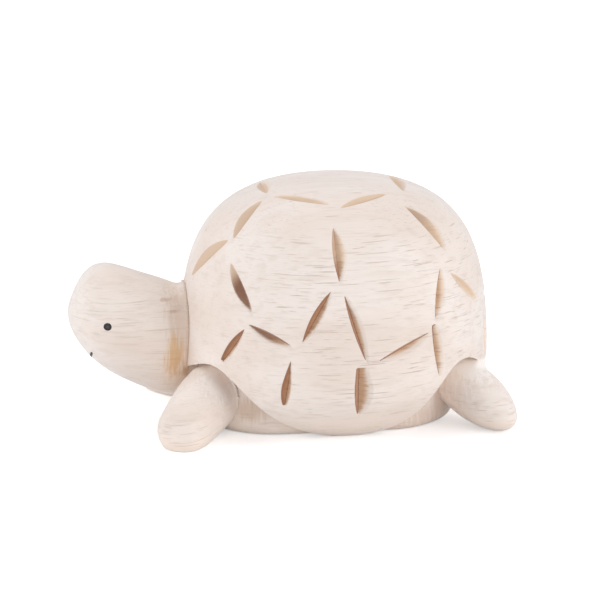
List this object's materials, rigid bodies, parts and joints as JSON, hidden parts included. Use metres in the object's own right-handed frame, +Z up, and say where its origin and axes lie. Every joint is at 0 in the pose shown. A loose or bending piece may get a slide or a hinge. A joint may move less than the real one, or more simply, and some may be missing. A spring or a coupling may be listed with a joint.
{
  "type": "turtle figurine",
  "caption": "Small standing turtle ornament in pale wood, with a high domed shell carved with gouge strokes, a blunt raised head, round legs and a short tail.",
  "frame": {"origin": "middle of the flat underside, on the surface that the figurine stands on", "axes": "+X from the head towards the tail, along the figurine's length; +Y towards the turtle's right side; +Z up"},
  "size_m": [0.0668, 0.042, 0.0371],
  "materials": {
    "wood": "sanded, unfinished",
    "black_paint": "satin"
  },
  "bodies": {
    "root": {"shell": "wood", "belly": "wood", "head": "wood", "front_left_leg": "wood", "front_right_leg": "wood", "rear_left_leg": "wood", "rear_right_leg": "wood", "tail": "wood", "left_eye": "black_paint", "right_eye": "black_paint", "mouth": "black_paint"}
  },
  "joints": []
}
